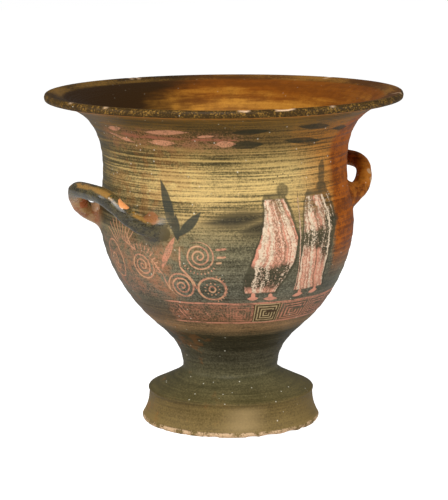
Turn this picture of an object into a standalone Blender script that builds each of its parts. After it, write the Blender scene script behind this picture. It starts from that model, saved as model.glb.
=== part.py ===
"""Bell krater: a wide-mouthed bowl of fired clay on a stemmed foot, with two upturned loop handles, all one piece.

Metres, +Z up. The pot stands on z = 0 with the middle of its mouth over the origin, the handles towards +X and -X,
and a picture side towards -Y. It is turned on a wheel, and it leans a little, as the real one does.
"""
import math

import bmesh
import bpy
import numpy as np

# Heights, each from the level below it up to its own
FOOT_BAND_HEIGHT = 0.0318
FOOT_SLOPE_HEIGHT = 0.0221
TURN_RISE = 0.0577
BELLY_RISE = 0.0958
NECK_RISE = 0.0580
FLARE_RISE = 0.0627
LIP_HEIGHT = 0.0079

# Outer radii at those levels
FOOT_RADIUS = 0.0908
FOOT_EDGE_RADIUS = 0.0847
STEM_RADIUS = 0.0484
TURN_RADIUS = 0.0869
BELLY_RADIUS = 0.1286
NECK_RADIUS = 0.1237
MOUTH_RADIUS = 0.1800

# Thicknesses and the hollow under the foot
WALL = 0.0070
STEM_WALL = 0.0100
FLOOR_THICKNESS = 0.0120
RESTING_RING_WIDTH = 0.0110
HOLLOW_RISE = 0.0120
HOLLOW_BROW_HEIGHT = 0.0180
HOLLOW_TAPER = 0.0110

# Small forms of the foot and the lip
TOE_HEIGHT = 0.0034
TOE_SETBACK = 0.0019
BAND_FLARE = 0.0012
GROOVE_DEPTH = 0.0008
GROOVE_WIDTH = 0.0026
EDGE_ROUND = 0.0016
LIP_OVERHANG = 0.0028
LIP_ROUND = 0.0020
TURN_SLOPE = math.radians(46.3)
LIP_SLOPE = math.radians(25.9)

# Handles: half the gap between the roots, the rod, and the shape of the loop seen from above and from its end
HANDLE_HALF_SPAN = 0.0555
HANDLE_ROD_RADIUS = 0.0082
HANDLE_ROOT_FLARE = 0.0034
HANDLE_ROOT_DEPTH = 0.0120
HANDLE_SQUARENESS = 0.46
HANDLE_UPTURN = 2.18

# Each handle was set on by hand: its bearing, the height of its roots, its reach past them, and its rise above them
LEFT_HANDLE_BEARING = math.radians(178.1)
LEFT_HANDLE_HEIGHT = 0.2145
LEFT_HANDLE_REACH = 0.0394
LEFT_HANDLE_RISE = 0.0312
RIGHT_HANDLE_BEARING = math.radians(2.0)
RIGHT_HANDLE_HEIGHT = 0.2271
RIGHT_HANDLE_REACH = 0.0371
RIGHT_HANDLE_RISE = 0.0299

# The lean of the finished pot: how far the mouth stands off the foot's axis, and how far its rim dips, per metre out
LEAN = 0.0070
LEAN_BEARING = math.radians(146.4)
LEAN_CURVE = 1.6
MOUTH_DIP = 0.0082
DIP_CURVE = 3.0

TURNING_STEPS = 60
ROD_SIDES = 12
ROD_RINGS = 22
MERGE_DISTANCE = 1e-6
SHARP_EDGE = math.radians(35)

STEM_LEVEL = FOOT_BAND_HEIGHT + FOOT_SLOPE_HEIGHT
TURN_LEVEL = STEM_LEVEL + TURN_RISE
BELLY_LEVEL = TURN_LEVEL + BELLY_RISE
NECK_LEVEL = BELLY_LEVEL + NECK_RISE
LIP_LEVEL = NECK_LEVEL + FLARE_RISE
HEIGHT = LIP_LEVEL + LIP_HEIGHT
HOLLOW_CEILING = STEM_LEVEL + HOLLOW_RISE
FLOOR_LEVEL = HOLLOW_CEILING + FLOOR_THICKNESS


def bezier(start, first, second, end, steps):
    """Points of a cubic curve in (radius, height), without its first point, so that curves join end to end."""
    t = np.linspace(0, 1, steps + 1)[1:, None]
    start, first, second, end = (np.array(p, float) for p in (start, first, second, end))
    return (1 - t) ** 3 * start + 3 * t * (1 - t) ** 2 * first + 3 * t * t * (1 - t) * second + t**3 * end


def moved(point, distance, slope):
    """The point that lies a distance from another, along a line at an angle above the horizontal."""
    return (point[0] + distance * math.cos(slope), point[1] + distance * math.sin(slope))


def set_in(curve, distance):
    """A curve that climbs the outside of the wall, moved square to itself into the clay."""
    run = np.gradient(curve, axis=0)
    run /= np.linalg.norm(run, axis=1)[:, None]
    return curve + distance * np.stack([-run[:, 1], run[:, 0]], axis=1)


def hollow_and_sole():
    """The underside from its middle out: the hollow's ceiling, its flaring side, and the flat resting ring."""
    sole = (FOOT_RADIUS - TOE_SETBACK, 0.0)
    heel = (sole[0] - RESTING_RING_WIDTH, 0.0)
    brow = (heel[0] - HOLLOW_TAPER, HOLLOW_BROW_HEIGHT)
    narrow = STEM_RADIUS - STEM_WALL
    ceiling = (0.0, HOLLOW_CEILING)
    side = bezier(ceiling, (narrow, HOLLOW_CEILING), (narrow, FOOT_BAND_HEIGHT), brow, 5)
    return np.concatenate([[ceiling], side, [heel, sole]])


def foot():
    """The foot's worn toe, its slightly hollow band, the groove below its edge, and the slope up to the stem."""
    toe = (FOOT_RADIUS, TOE_HEIGHT)
    groove = (FOOT_EDGE_RADIUS - GROOVE_DEPTH, FOOT_BAND_HEIGHT - GROOVE_WIDTH)
    below = (FOOT_EDGE_RADIUS + BAND_FLARE, 0.36 * FOOT_BAND_HEIGHT)
    band = bezier(toe, below, (groove[0], 0.62 * FOOT_BAND_HEIGHT), groove, 4)
    edge = (FOOT_EDGE_RADIUS, FOOT_BAND_HEIGHT)
    shoulder = (FOOT_EDGE_RADIUS - EDGE_ROUND, FOOT_BAND_HEIGHT + EDGE_ROUND)
    over = (0.68 * FOOT_EDGE_RADIUS, FOOT_BAND_HEIGHT + 0.60 * FOOT_SLOPE_HEIGHT)
    under = (STEM_RADIUS, STEM_LEVEL - 0.16 * FOOT_SLOPE_HEIGHT)
    slope = bezier(shoulder, over, under, (STEM_RADIUS, STEM_LEVEL), 5)
    return np.concatenate([[toe], band, [edge, shoulder], slope])


def stem():
    """The outside above the foot, from the stem's narrowest place up to where the bowl's curve turns over."""
    start, turn = (STEM_RADIUS, STEM_LEVEL), (TURN_RADIUS, TURN_LEVEL)
    above_start = (STEM_RADIUS, STEM_LEVEL + 0.49 * TURN_RISE)
    return bezier(start, above_start, moved(turn, -0.40 * TURN_RISE, TURN_SLOPE), turn, 5)


def bowl():
    """The outside from the turn to the lip's underside: full at the belly, hollow at the neck, flaring at the lip."""
    turn, belly, neck = (TURN_RADIUS, TURN_LEVEL), (BELLY_RADIUS, BELLY_LEVEL), (NECK_RADIUS, NECK_LEVEL)
    lip = (MOUTH_RADIUS - LIP_OVERHANG, LIP_LEVEL)
    above_turn = moved(turn, 0.37 * BELLY_RISE, TURN_SLOPE)
    below_belly = (BELLY_RADIUS, BELLY_LEVEL - 0.34 * BELLY_RISE)
    above_belly = (BELLY_RADIUS, BELLY_LEVEL + 0.33 * NECK_RISE)
    below_neck = (NECK_RADIUS, NECK_LEVEL - 0.39 * NECK_RISE)
    above_neck = (NECK_RADIUS, NECK_LEVEL + 0.98 * FLARE_RISE)
    below_lip = moved(lip, -0.09 * FLARE_RISE, LIP_SLOPE)
    full = bezier(turn, above_turn, below_belly, belly, 6)
    waist = bezier(belly, above_belly, below_neck, neck, 4)
    flare = bezier(neck, above_neck, below_lip, lip, 8)
    return np.concatenate([[turn], full, waist, flare])


def lip():
    """The lip's upright face, with its upper edge rounded onto the top."""
    top = (MOUTH_RADIUS, HEIGHT - LIP_ROUND)
    corner = (MOUTH_RADIUS, HEIGHT)
    crown = (MOUTH_RADIUS - LIP_ROUND, HEIGHT)
    return np.concatenate([[(MOUTH_RADIUS, LIP_LEVEL + LIP_ROUND), top], bezier(top, corner, corner, crown, 2)])


def lining():
    """The inside from the middle of the rounded floor to the top of the lip, a wall's thickness inside the bowl."""
    wall = set_in(bowl(), WALL)[::2]
    floor = (0.0, FLOOR_LEVEL)
    beside_floor = (0.75 * STEM_RADIUS, FLOOR_LEVEL)
    below_wall = moved(wall[0], -0.40 * TURN_RISE, TURN_SLOPE)
    return np.concatenate([[floor], bezier(floor, beside_floor, below_wall, wall[0], 5), wall[1:]])


def object_from(name, shape):
    """A mesh object of that name, from a bmesh whose doubled points are merged and whose faces look out."""
    bmesh.ops.remove_doubles(shape, verts=shape.verts, dist=MERGE_DISTANCE)
    bmesh.ops.recalc_face_normals(shape, faces=shape.faces)
    mesh = bpy.data.meshes.new(name)
    shape.to_mesh(mesh)
    shape.free()
    made = bpy.data.objects.new(name, mesh)
    bpy.context.scene.collection.objects.link(made)
    return made


def turned(name, profile):
    """A solid turned about Z from a profile whose two ends lie on the axis."""
    shape = bmesh.new()
    points = [shape.verts.new((radius, 0.0, height)) for radius, height in profile]
    edges = [shape.edges.new(pair) for pair in zip(points, points[1:])]
    whole_turn = {"axis": (0, 0, 1), "cent": (0, 0, 0), "angle": 2 * math.pi, "steps": TURNING_STEPS}
    bmesh.ops.spin(shape, geom=points + edges, use_merge=True, **whole_turn)
    return object_from(name, shape)


def handle_line(bearing, root_height, reach, rise):
    """The rod's centre line and radius: a squarish horseshoe that leaves the wall level and turns up at its far side."""
    wall = bowl()
    root_radius = np.interp(root_height, wall[:, 1], wall[:, 0])
    root_reach = math.sqrt(root_radius**2 - HANDLE_HALF_SPAN**2)
    angle = np.linspace(0, math.pi, ROD_RINGS)
    across, swell = np.cos(angle), np.abs(np.sin(angle))
    out = root_reach + reach * swell
    side = HANDLE_HALF_SPAN * np.sign(across) * np.abs(across) ** HANDLE_SQUARENESS
    height = root_height + rise * swell**HANDLE_UPTURN
    radius = HANDLE_ROD_RADIUS + HANDLE_ROOT_FLARE * (1 - swell) ** 2
    out, side, height, radius = (np.pad(values, 1, mode="edge") for values in (out, side, height, radius))
    out[[0, -1]] -= HANDLE_ROOT_DEPTH
    east, north = math.cos(bearing), math.sin(bearing)
    return np.stack([out * east - side * north, out * north + side * east, height], axis=1), radius


def handle(name, line, radius):
    """A round rod along its centre line, with both ends running on into the wall."""
    run = np.gradient(line, axis=0)
    run /= np.linalg.norm(run, axis=1)[:, None]
    across = np.cross(run, (0.0, 0.0, 1.0))
    across /= np.linalg.norm(across, axis=1)[:, None]
    lift = np.cross(across, run)
    turn = np.linspace(0, 2 * math.pi, ROD_SIDES, endpoint=False)[None, :, None]
    spokes = across[:, None] * np.cos(turn) + lift[:, None] * np.sin(turn)
    shape = bmesh.new()
    rings = [[shape.verts.new(place) for place in ring] for ring in line[:, None] + radius[:, None, None] * spokes]
    for near, far in zip(rings, rings[1:]):
        for k in range(ROD_SIDES):
            shape.faces.new((near[k], near[k - 1], far[k - 1], far[k]))
    shape.faces.new(rings[0])
    shape.faces.new(rings[-1])
    return object_from(name, shape)


def wall_core():
    """A solid that fills the bowl out to the middle of its wall: no handle may reach into it."""
    wall = bowl()
    middle = set_in(wall[wall[:, 1] <= NECK_LEVEL], WALL / 2)
    low, high = (0.0, middle[0, 1]), (0.0, middle[-1, 1])
    return turned("wall_core", np.concatenate([[low], middle, [high]]))


def hide(helper):
    """Marks an object as a helper that isn't part of the pot."""
    helper.hide_render = True
    helper.display_type = "WIRE"


def change(piece, operation, other):
    """Adds or cuts away another object, which stays as a hidden helper, and makes the result the piece's own mesh."""
    step = piece.modifiers.new(operation.lower(), "BOOLEAN")
    step.operation = operation
    step.solver = "EXACT"
    step.object = other
    graph = bpy.context.evaluated_depsgraph_get()
    mesh = bpy.data.meshes.new_from_object(piece.evaluated_get(graph))
    piece.modifiers.clear()
    piece.data = mesh
    hide(other)


def lean(piece):
    """Moves each level off the mouth's axis, most at the foot, and dips the rim on the side that the pot leans to."""
    mesh = piece.data
    flat = np.empty(len(mesh.vertices) * 3, np.float32)
    mesh.vertices.foreach_get("co", flat)
    points = flat.reshape(-1, 3).astype(float)
    share = np.clip(points[:, 2] / HEIGHT, 0, 1)
    towards = np.array([math.cos(LEAN_BEARING), math.sin(LEAN_BEARING)])
    points[:, 2] -= MOUTH_DIP * share**DIP_CURVE * (points[:, :2] @ towards)
    points[:, :2] -= LEAN * (1 - share[:, None] ** LEAN_CURVE) * towards
    mesh.vertices.foreach_set("co", points.astype(np.float32).ravel())
    mesh.update()


def painted_clay():
    """Fired clay under a worn dark slip."""
    material = bpy.data.materials.new("painted_clay")
    material.use_nodes = True
    shader = material.node_tree.nodes["Principled BSDF"]
    shader.inputs["Base Color"].default_value = (0.16, 0.115, 0.06, 1.0)
    shader.inputs["Roughness"].default_value = 0.45
    shader.inputs["Metallic"].default_value = 0.0
    return material


def main():
    for old in list(bpy.data.objects):
        bpy.data.objects.remove(old)
    krater = turned("krater", np.concatenate([hollow_and_sole(), foot(), stem(), bowl()[1:], lip(), lining()[::-1]]))
    left = handle_line(LEFT_HANDLE_BEARING, LEFT_HANDLE_HEIGHT, LEFT_HANDLE_REACH, LEFT_HANDLE_RISE)
    right = handle_line(RIGHT_HANDLE_BEARING, RIGHT_HANDLE_HEIGHT, RIGHT_HANDLE_REACH, RIGHT_HANDLE_RISE)
    core = wall_core()
    for name, (line, radius) in (("left_loop", left), ("right_loop", right)):
        loop = handle(name, line, radius)
        change(loop, "DIFFERENCE", core)
        change(krater, "UNION", loop)
    lean(krater)
    krater.data.materials.clear()
    krater.data.materials.append(painted_clay())
    krater.data.shade_smooth()
    krater.data.set_sharp_from_angle(angle=SHARP_EDGE)


main()
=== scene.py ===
"""The look of a red-figure bell krater: thrown, slipped, painted, fired unevenly, and worn.

The pot's surface is a turned form with two rolled loops joined on. It is then aged: waves from throwing,
chips, a lean and a slight warp. Its painting is drawn by shader maths on the place that each point had on
the wheel. Metres, +Z up, except that painted places are millimetres: round the pot at the belly's radius,
and up its outside.
"""
import math

import bmesh
import bpy
import numpy as np
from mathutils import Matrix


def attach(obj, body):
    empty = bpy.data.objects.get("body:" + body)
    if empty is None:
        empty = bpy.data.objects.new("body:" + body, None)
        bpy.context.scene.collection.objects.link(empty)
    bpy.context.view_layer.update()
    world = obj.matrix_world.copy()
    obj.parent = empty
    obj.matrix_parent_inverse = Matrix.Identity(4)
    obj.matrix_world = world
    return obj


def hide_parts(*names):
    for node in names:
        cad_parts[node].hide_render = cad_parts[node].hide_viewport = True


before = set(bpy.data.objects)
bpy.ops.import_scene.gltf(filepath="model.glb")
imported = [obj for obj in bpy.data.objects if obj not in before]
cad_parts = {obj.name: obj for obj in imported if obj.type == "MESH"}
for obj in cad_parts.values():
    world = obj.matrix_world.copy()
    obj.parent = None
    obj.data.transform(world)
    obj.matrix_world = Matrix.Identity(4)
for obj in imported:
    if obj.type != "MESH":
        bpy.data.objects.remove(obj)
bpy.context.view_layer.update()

# The turned outside: heights and radii
FOOT_BAND_HEIGHT = 0.0318
STEM_LEVEL = 0.0539
TURN_LEVEL = 0.1116
BELLY_LEVEL = 0.2074
NECK_LEVEL = 0.2654
LIP_LEVEL = 0.3281
HEIGHT = 0.3360
FOOT_RADIUS = 0.0908
FOOT_EDGE_RADIUS = 0.0847
STEM_RADIUS = 0.0484
TURN_RADIUS = 0.0869
BELLY_RADIUS = 0.1286
NECK_RADIUS = 0.1237
MOUTH_RADIUS = 0.1800
TURN_SLOPE = math.radians(46.3)
LIP_SLOPE = math.radians(25.9)

# Thicknesses and small forms
WALL = 0.0070
HOLLOW_CEILING = 0.0659
FLOOR_LEVEL = 0.0779
HOLLOW_RADIUS = 0.0384
HEEL_RADIUS = 0.0779
HOLLOW_TAPER = 0.0110
HOLLOW_BROW_HEIGHT = 0.0180
SOLE_RADIUS = 0.0889
TOE_HEIGHT = 0.0034
GROOVE_DEPTH = 0.0009
GROOVE_WIDTH = 0.0026
EDGE_ROUND = 0.0016
LIP_OVERHANG = 0.0028
LIP_ROUND = 0.0022
LIP_FALL = 0.0020
LIP_TOP_WIDTH = 0.0130

# Handles
HANDLE_HALF_SPAN = 0.0555
HANDLE_ROD_RADIUS = 0.0082
HANDLE_ROOT_FLARE = 0.0012
HANDLE_SQUARENESS = 0.46
HANDLE_UPTURN = 2.18
LUTING_REACH = 0.0150
ROD_RINGS = 84
ROD_SIDES = 40
LEFT_HANDLE = {"bearing": math.radians(178.1), "root": 0.2145, "reach": 0.0394, "rise": 0.0312}
RIGHT_HANDLE = {"bearing": math.radians(2.0), "root": 0.2271, "reach": 0.0371, "rise": 0.0299}
PRESSED_WALL = {
    "bearing": math.radians(-32.0), "level": 0.243, "depth": 0.0026, "height": 0.022, "width": 0.024,
}

# Where the handles lie: their levels, how far they reach sideways, and how soon their clay shows off the wall
HANDLE_LEVELS = (0.185, 0.285)
HANDLE_SIDE_REACH = 0.085
HANDLE_FADE = 0.0045

# Lean and warp of the finished pot
LEAN = 0.0070
LEAN_BEARING = math.radians(146.4)
LEAN_BOW = 0.0047
LEAN_TWIST = 0.0139
MOUTH_DIP = 0.0082
MOUTH_SADDLE = 0.0080
DIP_CURVE = 3.0

# Surface waves left by the throwing, and the mesh's own spacing
WAVE_DEPTH = 0.00016
WAVE_LENGTH = 0.0120
DENT_DEPTH = 0.00030
COLUMNS = 256
CURVE_STEPS = 48
TOE_STEPS = 8
OUTER_SPACING = 0.0019
TOE_SPACING = 0.0010
BAND_SPACING = 0.0011
LIP_SPACING = 0.0009
LINING_SPACING = 0.0045

MM = 1000.0
SEED = 7


# Turned form

def bezier(start, first, second, end, steps=CURVE_STEPS):
    """Points of a cubic curve in (radius, height) without its first point, so that curves join end to end."""
    t = np.linspace(0, 1, steps + 1)[1:, None]
    start, first, second, end = (np.array(p, float) for p in (start, first, second, end))
    return (1 - t) ** 3 * start + 3 * t * (1 - t) ** 2 * first + 3 * t * t * (1 - t) * second + t**3 * end


def moved(point, distance, slope):
    """The point that lies a distance from another, along a line at an angle above the horizontal."""
    return (point[0] + distance * math.cos(slope), point[1] + distance * math.sin(slope))


def underside():
    """The hollow's ceiling from the middle out, its flaring side, and the resting ring's two soft edges."""
    ceiling, brow = (0.0, HOLLOW_CEILING), (HEEL_RADIUS - HOLLOW_TAPER, HOLLOW_BROW_HEIGHT)
    side = bezier(ceiling, (HOLLOW_RADIUS, HOLLOW_CEILING), (HOLLOW_RADIUS, FOOT_BAND_HEIGHT), brow)
    soft = 0.12
    heel_in = (HEEL_RADIUS - soft * HOLLOW_TAPER, soft * HOLLOW_BROW_HEIGHT)
    heel_out = (HEEL_RADIUS + EDGE_ROUND, 0.0)
    heel = bezier(heel_in, (HEEL_RADIUS, 0.0), (HEEL_RADIUS, 0.0), heel_out, 6)
    return np.concatenate([[ceiling], side, [heel_in], heel])


def foot():
    """The worn toe, the slightly hollow band, the groove and bead at its edge, and the slope to the stem."""
    sole, toe = (SOLE_RADIUS, 0.0), (FOOT_RADIUS, TOE_HEIGHT)
    under_toe = bezier(sole, (FOOT_RADIUS - 0.0006, 0.0), (FOOT_RADIUS, 0.4 * TOE_HEIGHT), toe, TOE_STEPS)
    groove = (FOOT_EDGE_RADIUS - GROOVE_DEPTH, FOOT_BAND_HEIGHT - GROOVE_WIDTH)
    below = (FOOT_EDGE_RADIUS + 0.0012, 0.36 * FOOT_BAND_HEIGHT)
    band = bezier(toe, below, (groove[0], 0.62 * FOOT_BAND_HEIGHT), groove)
    edge = (FOOT_EDGE_RADIUS, FOOT_BAND_HEIGHT)
    shoulder = (FOOT_EDGE_RADIUS - EDGE_ROUND, FOOT_BAND_HEIGHT + EDGE_ROUND)
    under_edge, over_edge = (edge[0] + 0.0002, edge[1] - 0.0008), (edge[0], edge[1] + 0.0010)
    bead = bezier(groove, (groove[0], FOOT_BAND_HEIGHT - 0.0012), under_edge, edge, 6)
    roll = bezier(edge, over_edge, (shoulder[0] + 0.0006, shoulder[1] - 0.0002), shoulder, 6)
    rise = STEM_LEVEL - FOOT_BAND_HEIGHT
    over = (0.68 * FOOT_EDGE_RADIUS, FOOT_BAND_HEIGHT + 0.60 * rise)
    slope = bezier(shoulder, over, (STEM_RADIUS, STEM_LEVEL - 0.16 * rise), (STEM_RADIUS, STEM_LEVEL))
    return np.concatenate([[sole], under_toe, band, bead, roll, slope])


def wall():
    """The outside from the stem's narrowest place over the belly and the neck to the lip's underside."""
    start, turn = (STEM_RADIUS, STEM_LEVEL), (TURN_RADIUS, TURN_LEVEL)
    belly, neck = (BELLY_RADIUS, BELLY_LEVEL), (NECK_RADIUS, NECK_LEVEL)
    end = (MOUTH_RADIUS - LIP_OVERHANG, LIP_LEVEL)
    low, full = TURN_LEVEL - STEM_LEVEL, BELLY_LEVEL - TURN_LEVEL
    waist, flare = NECK_LEVEL - BELLY_LEVEL, LIP_LEVEL - NECK_LEVEL
    stem = bezier(start, (STEM_RADIUS, STEM_LEVEL + 0.49 * low), moved(turn, -0.40 * low, TURN_SLOPE), turn)
    under_belly = (BELLY_RADIUS, BELLY_LEVEL - 0.34 * full)
    over_belly = (BELLY_RADIUS, BELLY_LEVEL + 0.33 * waist)
    under_neck, over_neck = (NECK_RADIUS, NECK_LEVEL - 0.39 * waist), (NECK_RADIUS, NECK_LEVEL + 0.98 * flare)
    bowl = bezier(turn, moved(turn, 0.37 * full, TURN_SLOPE), under_belly, belly)
    hip = bezier(belly, over_belly, under_neck, neck)
    bell = bezier(neck, over_neck, moved(end, -0.09 * flare, LIP_SLOPE), end, 72)
    return np.concatenate([stem, bowl, hip, bell])


def lip():
    """The lip's underside corner, its slightly full face, its rounded upper edge and its top's start."""
    under = (MOUTH_RADIUS - LIP_OVERHANG, LIP_LEVEL)
    low = (MOUTH_RADIUS - 0.0002, LIP_LEVEL + 1.1 * LIP_ROUND)
    high = (MOUTH_RADIUS - 0.0003, HEIGHT - LIP_ROUND)
    crown = (MOUTH_RADIUS - 1.3 * LIP_ROUND, HEIGHT)
    below_low = (MOUTH_RADIUS - 0.0003, LIP_LEVEL + 0.0012)
    corner = bezier(under, (MOUTH_RADIUS - 0.0006, LIP_LEVEL + 0.0005), below_low, low, 8)
    full = MOUTH_RADIUS + 0.0002
    face = bezier(low, (full, low[1] + 0.001), (full, high[1] - 0.001), high, 8)
    over_high = (MOUTH_RADIUS - 0.0003, HEIGHT - 0.5 * LIP_ROUND)
    edge = bezier(high, over_high, (crown[0] + 0.5 * LIP_ROUND, HEIGHT), crown, 8)
    return np.concatenate([corner, face, edge])


def set_in(curve, distance):
    """A curve that climbs the outside of the wall, moved square to itself into the clay."""
    run = np.gradient(curve, axis=0)
    run /= np.linalg.norm(run, axis=1)[:, None]
    return curve + distance * np.stack([-run[:, 1], run[:, 0]], axis=1)


def lining():
    """The inside from the lip's top down to the middle of the floor, a wall's thickness inside the bowl."""
    outside = wall()
    inside = set_in(outside, WALL)[outside[:, 1] >= TURN_LEVEL]
    inside = inside[inside[:, 0] < MOUTH_RADIUS - LIP_TOP_WIDTH - 0.010]
    start, turn = (0.0, FLOOR_LEVEL), inside[0]
    low = TURN_LEVEL - STEM_LEVEL
    floor = bezier(start, (0.75 * STEM_RADIUS, FLOOR_LEVEL), moved(turn, -0.40 * low, TURN_SLOPE), turn)
    crown = (MOUTH_RADIUS - 1.3 * LIP_ROUND, HEIGHT)
    ledge = (MOUTH_RADIUS - LIP_TOP_WIDTH, HEIGHT - LIP_FALL)
    last, before = inside[-1], inside[-2]
    onward = last + (last - before) / np.linalg.norm(last - before) * 0.008
    top = bezier(last, onward, (ledge[0] - 0.004, ledge[1] - 0.0011), ledge, 24)
    beside_crown = (crown[0] - 0.003, crown[1] + 0.0001)
    roll = bezier(ledge, (ledge[0] + 0.004, ledge[1] + 0.0011), beside_crown, crown, 12)
    return np.concatenate([[start], floor, inside[1:], top, roll[:-1]])[::-1]


def spaced(curve, spacing):
    """The same curve with points at even distances along it."""
    along = np.concatenate([[0], np.cumsum(np.linalg.norm(np.diff(curve, axis=0), axis=1))])
    places = np.linspace(0, along[-1], max(2, round(along[-1] / spacing) + 1))
    return np.stack([np.interp(places, along, curve[:, k]) for k in (0, 1)], axis=1)


def section():
    """The whole section from the hollow's middle round the outside to the floor's middle, finest outside."""
    low = foot()
    slope_start = len(low) - CURVE_STEPS
    parts = [
        spaced(underside(), LINING_SPACING)[:-1],
        [(HEEL_RADIUS + EDGE_ROUND, 0.0)],
        spaced(low[: TOE_STEPS + 1], TOE_SPACING),
        spaced(low[TOE_STEPS:slope_start], BAND_SPACING)[1:],
        spaced(low[slope_start - 1 :], OUTER_SPACING)[1:],
        spaced(np.concatenate([low[-1:], wall()]), OUTER_SPACING)[1:],
        spaced(np.concatenate([wall()[-1:], lip()]), LIP_SPACING)[1:],
        spaced(lining(), LINING_SPACING),
    ]
    return np.concatenate(parts)


def turned_faces(rows, columns):
    """Quads between rows of a grid that closes round, and a fan of triangles to the pole at each end."""
    row, column = np.meshgrid(np.arange(rows - 1), np.arange(columns), indexing="ij")
    after = (column + 1) % columns
    here, above = row * columns, (row + 1) * columns
    quads = np.stack([here + column, here + after, above + after, above + column])
    around = np.arange(columns)
    first, last = rows * columns, rows * columns + 1
    start = np.stack([np.full(columns, first), (around + 1) % columns, around])
    top = (rows - 1) * columns
    end = np.stack([np.full(columns, last), top + around, top + (around + 1) % columns])
    return quads.reshape(4, -1).T.tolist() + start.T.tolist() + end.T.tolist()


def turned_pot():
    """The pot without handles: each point of the section goes round the axis at its radius and height."""
    profile = section()
    rings = profile[1:-1]
    angle = np.linspace(0, 2 * math.pi, COLUMNS, endpoint=False)
    radius, height = rings[:, 0, None], np.repeat(rings[:, 1, None], COLUMNS, axis=1)
    points = np.stack([radius * np.cos(angle), radius * np.sin(angle), height], axis=-1).reshape(-1, 3)
    poles = np.array([[0, 0, profile[0, 1]], [0, 0, profile[-1, 1]]])
    return solid("turned_pot", np.concatenate([points, poles]), turned_faces(len(rings), COLUMNS))


def outer_radius(height):
    """The outside's radius at a height on the wall."""
    outside = wall()
    return np.interp(height, outside[:, 1], outside[:, 0])


def turned_to(places, bearing):
    """Places turned round the axis from +X to a bearing."""
    east, north = math.cos(bearing), math.sin(bearing)
    x, y, z = np.moveaxis(places, -1, 0)
    return np.stack([x * east - y * north, x * north + y * east, z], axis=-1)


def loop_line(bearing, root, reach, rise):
    """A loop's middle line and its rod's radius, before it is turned to its bearing.

    Out is the root's reach plus a sine, side is a cosine made squarer by a power, and height is a power of
    the sine. The radius swells towards the wall and is a little uneven, as rolled clay is.
    """
    angle = np.linspace(0, math.pi, ROD_RINGS)
    across, swell = np.cos(angle), np.abs(np.sin(angle))
    start = math.sqrt(outer_radius(root) ** 2 - HANDLE_HALF_SPAN**2)
    side = HANDLE_HALF_SPAN * np.sign(across) * np.abs(across) ** HANDLE_SQUARENESS
    line = np.stack([start + reach * swell, side, root + rise * swell**HANDLE_UPTURN], axis=1)
    uneven = 1 + 0.022 * np.sin(5 * angle + 1.0) + 0.016 * np.sin(11 * angle)
    return line, (HANDLE_ROD_RADIUS + HANDLE_ROOT_FLARE * (1 - swell) ** 2) * uneven


def loop(name, handle):
    """A rolled loop: rings of points square to its middle line, whose ends run on to the wall's middle."""
    line, radius = loop_line(**handle)
    run = np.gradient(line, axis=0)
    run[0], run[-1] = (1, 0, 0), (-1, 0, 0)
    run /= np.linalg.norm(run, axis=1)[:, None]
    flat = np.cross(run, (0.0, 0.0, 1.0))
    flat /= np.linalg.norm(flat, axis=1)[:, None]
    lift = np.cross(flat, run)
    turn = np.linspace(0, 2 * math.pi, ROD_SIDES, endpoint=False)[None, :, None]
    spokes = flat[:, None] * np.cos(turn) + lift[:, None] * np.sin(turn)
    places = line[:, None] + radius[:, None, None] * spokes
    ends = places[[0, -1]].copy()
    core = outer_radius(ends[..., 2]) - 0.5 * WALL
    ends[..., 0] = np.sqrt(core**2 - ends[..., 1] ** 2)
    places = turned_to(np.concatenate([ends[:1], places, ends[1:]]), handle["bearing"])
    poles = np.stack([places[0].mean(axis=0), places[-1].mean(axis=0)])
    return solid(name, np.concatenate([places.reshape(-1, 3), poles]), turned_faces(len(places), ROD_SIDES))


def from_wall(points):
    """Distance outwards from the turned wall, in metres, by comparing radii, and the wall's own direction."""
    outside = wall()
    slope = np.gradient(outside[:, 0], outside[:, 1] + np.arange(len(outside)) * 1e-9)
    around = points[:, :2] / np.maximum(np.hypot(points[:, 0], points[:, 1]), 1e-9)[:, None]
    rise = -np.interp(points[:, 2], outside[:, 1], slope)
    square = np.concatenate([around, rise[:, None]], axis=1)
    square /= np.linalg.norm(square, axis=1)[:, None]
    proud = np.hypot(points[:, 0], points[:, 1]) - outer_radius(points[:, 2])
    return proud / np.hypot(1, rise), square


def from_rods(points):
    """Distance outwards from the nearer rod, in metres, and its direction, from its line's nearest place."""
    distance, square = np.full(len(points), 1.0), np.zeros((len(points), 3))
    for handle in (LEFT_HANDLE, RIGHT_HANDLE):
        line, radius = loop_line(**handle)
        line = turned_to(line, handle["bearing"])
        start, along = line[:-1], np.diff(line, axis=0)
        share = np.einsum("pik,ik->pi", points[:, None] - start, along) / np.sum(along**2, axis=1)
        share = np.clip(share, 0, 1)
        away = points[:, None] - start - share[..., None] * along
        gap = np.linalg.norm(away, axis=2) - (radius[:-1] + share * np.diff(radius))
        best = np.argmin(gap, axis=1)
        row = np.arange(len(points))
        nearer = gap[row, best] < distance
        distance = np.where(nearer, gap[row, best], distance)
        unit = away[row, best] / np.linalg.norm(away[row, best], axis=1)[:, None]
        square = np.where(nearer[:, None], unit, square)
    return distance, square


def luted(points):
    """Points moved out to a soft join of wall and rods, by three steps of Newton's method.

    The join lies where the smaller of the two distances equals a quarter of the luting's reach, times the
    square of one minus their difference over that reach.
    """
    for _ in range(3):
        wall_gap, wall_square = from_wall(points)
        rod_gap, rod_square = from_rods(points)
        near = np.clip(1 - np.abs(wall_gap - rod_gap) / LUTING_REACH, 0, None)
        blend = np.minimum(wall_gap, rod_gap) - 0.25 * LUTING_REACH * near**2
        wall_part = np.where(wall_gap < rod_gap, 1 - 0.5 * near, 0.5 * near)[:, None]
        slope = wall_part * wall_square + (1 - wall_part) * rod_square
        step = -blend / np.sum(slope**2, axis=1)
        points = points + (np.where(near > 0, step, 0))[:, None] * slope
    return points


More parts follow.
